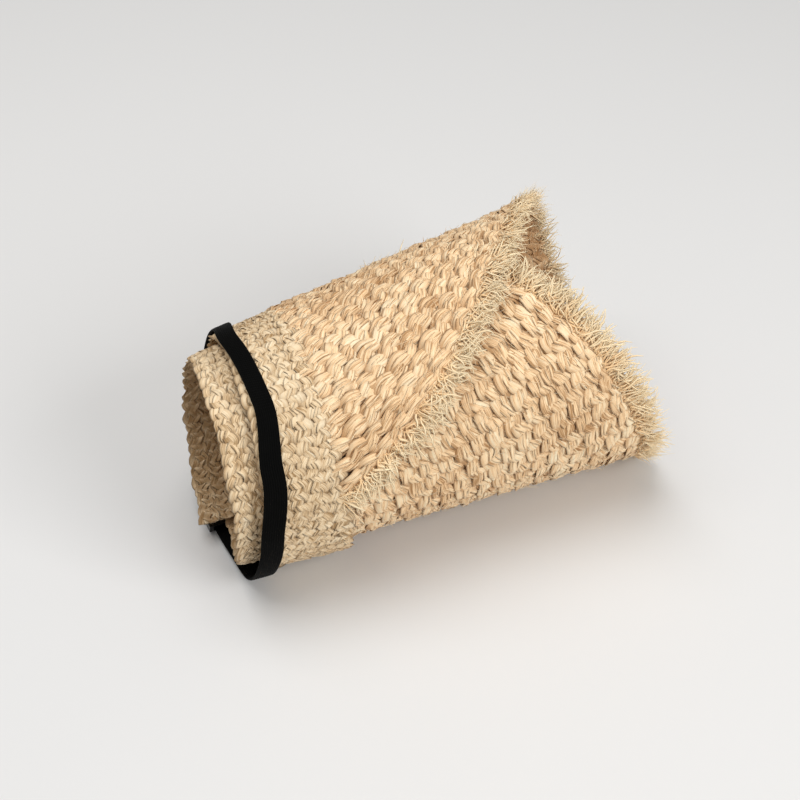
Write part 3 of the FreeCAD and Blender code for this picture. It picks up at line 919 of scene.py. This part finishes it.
class VISOR_OT_loose(bpy.types.Operator):
    """Raise a few single fibres off the brim"""
    bl_idname = "visor.loose"
    bl_label = "Loose straw"

    def execute(self, context):
        sheet, tints = sheet_now(), context.scene.visor_colours
        material = fringe_material("Frayed straw", tints.fringe_root, tints.fringe_tip)
        rng = np.random.default_rng(33)
        path = brim_path(sheet, sheet.row_pitch)
        fibres = sheet.brim.loose
        run = rng.uniform(0.03, float(path.measure[-1]) - 0.03, fibres)
        half = sheet.half_span * 0.9
        reached = 1 - (np.abs(np.interp(run, path.measure, path.turns) - sheet.middle)
                       / half) ** 2
        across = -rng.uniform(0.0, 0.85, fibres) * sheet.brim.width * np.clip(reached, 0, 1)
        size = rng.uniform(0.003, 0.009, fibres)
        tubes, share = hair_tubes(path, (run, across, np.full(fibres, 0.0012)),
                                  rng.normal(1.35, 0.5, fibres), size,
                                  rng.uniform(0.0, 0.0022, fibres),
                                  rng.uniform(-0.0015, 0.001, fibres),
                                  rng.normal(0, 0.0012, fibres),
                                  rng.uniform(0.00015, 0.00035, fibres), 0.6, 7)
        split_hairs("loose_fibres", path, run, tubes, {"reach": share, "tone": 0.5},
                    material, None)
        return {"FINISHED"}


def strap_shares(turns, waist):
    """Shares of the strap's full width and thickness at each turn.

    It is narrow where it is pulled over the top, most of its width is back by the front and
    all of it at the ring.  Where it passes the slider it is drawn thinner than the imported
    model's strap.
    """
    front, bottom, back = (turns - 20) / 60, (turns - 150) / 40, (-60 - turns) / 35
    full = 0.7 * ease(front) + 0.3 * ease(bottom) + ease(back)
    return 1 - waist * (1 - full), 1 - 0.45 * ease((turns - 165) / 15)


class VISOR_OT_strap(bpy.types.Operator):
    """Wrap the ribbed elastic strap round the roll"""
    bl_idname = "visor.strap"
    bl_label = "Elastic strap"

    def execute(self, context):
        sheet, tints = sheet_now(), context.scene.visor_colours
        material = elastic_material(tints.elastic)
        tie = sheet.tie
        turns = np.linspace(math.degrees(tie.start), math.degrees(tie.stop), 300)
        along, radius = sheet.strap_middle(turns)
        middle = sheet.place(turns, along, radius)
        run = np.gradient(middle, axis=0)
        run /= np.linalg.norm(run, axis=1, keepdims=True)
        width = sheet.place(turns, along + MILLI, radius + sheet.roll.cone_rise * MILLI) \
            - middle
        width -= run * np.sum(width * run, axis=1, keepdims=True)
        width /= np.linalg.norm(width, axis=1, keepdims=True)
        out = np.cross(run, width)
        narrow, slim = strap_shares(turns, tie.waist)
        side = np.linspace(-1, 1, 6 * tie.ribs + 1)
        rib = 0.5 + 0.5 * np.cos(np.pi * tie.ribs * (side + 1))
        edge = np.sqrt(np.clip(1 - np.abs(side) ** 10, 0, 1))
        top = tie.thick / 2 * (0.25 + 0.75 * edge) - 0.00020 * rib * edge
        lateral = np.concatenate([side, side[::-1]]) * tie.width / 2
        height = np.concatenate([top, -top[::-1]])
        tube = middle[:, None] + width[:, None] * np.outer(narrow, lateral)[..., None] \
            + out[:, None] * np.outer(slim, height)[..., None]
        mesh = tubes_mesh("elastic_band", tube[None, :, ::-1], {})
        place_piece("elastic_band", mesh, material, "strap",
                    "elastic_strap")
        for node in ("strap_sewn_loop", "strap_slider_loop"):
            dress_node(node, material)
        return {"FINISHED"}


def dress_node(name, material):
    """Give a carried-over node a material."""
    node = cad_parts[name]
    for slot in node.material_slots:
        slot.material = material
    if not node.material_slots:
        node.data.materials.append(material)


class VISOR_OT_hardware(bpy.types.Operator):
    """Finish the slider and the ring in black plastic"""
    bl_idname = "visor.hardware"
    bl_label = "Slider and ring"

    def execute(self, context):
        material = plastic_material(context.scene.visor_colours.plastic)
        for node in ("strap_slider", "strap_ring"):
            dress_node(node, material)
        return {"FINISHED"}


def aim(thing, target):
    """Turn a camera or light at a point."""
    direction = Vector(target) - thing.location
    thing.rotation_euler = direction.to_track_quat("-Z", "Y").to_euler()


def softbox(name, place, size, power, target):
    light = bpy.data.lights.new(name, "AREA")
    light.shape = "RECTANGLE"
    light.size, light.size_y = size
    light.energy = power
    lamp = bpy.data.objects.new(name, light)
    bpy.context.scene.collection.objects.link(lamp)
    lamp.location = place
    aim(lamp, target)


class VISOR_OT_stage(bpy.types.Operator):
    """Set up the floor, the soft lights and the camera"""
    bl_idname = "visor.stage"
    bl_label = "Stage"

    def execute(self, context):
        scene = context.scene
        sizes = scene.visor_stage
        side, up = sizes.azimuth, sizes.elevation
        target = Vector((sizes.aim_forward, sizes.aim_side, sizes.aim_height))
        back = Vector((math.sin(side) * math.cos(up), -math.cos(side) * math.cos(up),
                       math.sin(up)))
        camera = bpy.data.objects.new("Camera", bpy.data.cameras.new("Camera"))
        scene.collection.objects.link(camera)
        camera.data.lens = sizes.lens
        camera.data.clip_start = 0.01
        camera.location = target + back * sizes.distance
        aim(camera, target)
        scene.camera = camera
        half = FLOOR_HALF
        mesh = bpy.data.meshes.new("floor")
        mesh.from_pydata([(-half, -half, 0), (half, -half, 0), (half, half, 0),
                          (-half, half, 0)], [], [(0, 1, 2, 3)])
        mesh.materials.append(floor_material(scene.visor_colours.floor))
        floor = bpy.data.objects.new("floor", mesh)
        scene.collection.objects.link(floor)
        softbox("Overhead softbox", (-0.25, 0.15, 1.35), (1.1, 1.1), sizes.key_power, target)
        softbox("Front softbox", (0.5, -1.2, 0.9), (0.9, 0.7), sizes.fill_power, target)
        world = bpy.data.worlds.new("Studio")
        world.use_nodes = True
        background = world.node_tree.nodes["Background"]
        background.inputs["Color"].default_value = (1.0, 0.99, 0.975, 1.0)
        background.inputs["Strength"].default_value = sizes.sky
        scene.world = world
        scene.view_settings.view_transform = "Standard"
        return {"FINISHED"}


class VISOR_PT_panel(bpy.types.Panel):
    """Sidebar panel that lists the steps"""
    bl_idname = "VISOR_PT_panel"
    bl_label = "Rolled straw visor"
    bl_space_type = "VIEW_3D"
    bl_region_type = "UI"
    bl_category = "Visor"

    def draw(self, context):
        for step in STEPS:
            self.layout.operator(step.bl_idname)


STEPS = (VISOR_OT_stage, VISOR_OT_headband, VISOR_OT_brim, VISOR_OT_fringe,
         VISOR_OT_thread, VISOR_OT_loose, VISOR_OT_strap, VISOR_OT_hardware)


def register():
    for name, group in SETTINGS:
        bpy.utils.register_class(group)
        setattr(bpy.types.Scene, name, PointerProperty(type=group))
    for step in STEPS:
        bpy.utils.register_class(step)
    bpy.utils.register_class(VISOR_PT_panel)


def unregister():
    bpy.utils.unregister_class(VISOR_PT_panel)
    for step in reversed(STEPS):
        bpy.utils.unregister_class(step)
    for name, group in reversed(SETTINGS):
        delattr(bpy.types.Scene, name)
        bpy.utils.unregister_class(group)


def main():
    register()
    for step in STEPS:
        family, name = step.bl_idname.split(".")
        getattr(getattr(bpy.ops, family), name)()


if __name__ == "__main__":
    main()
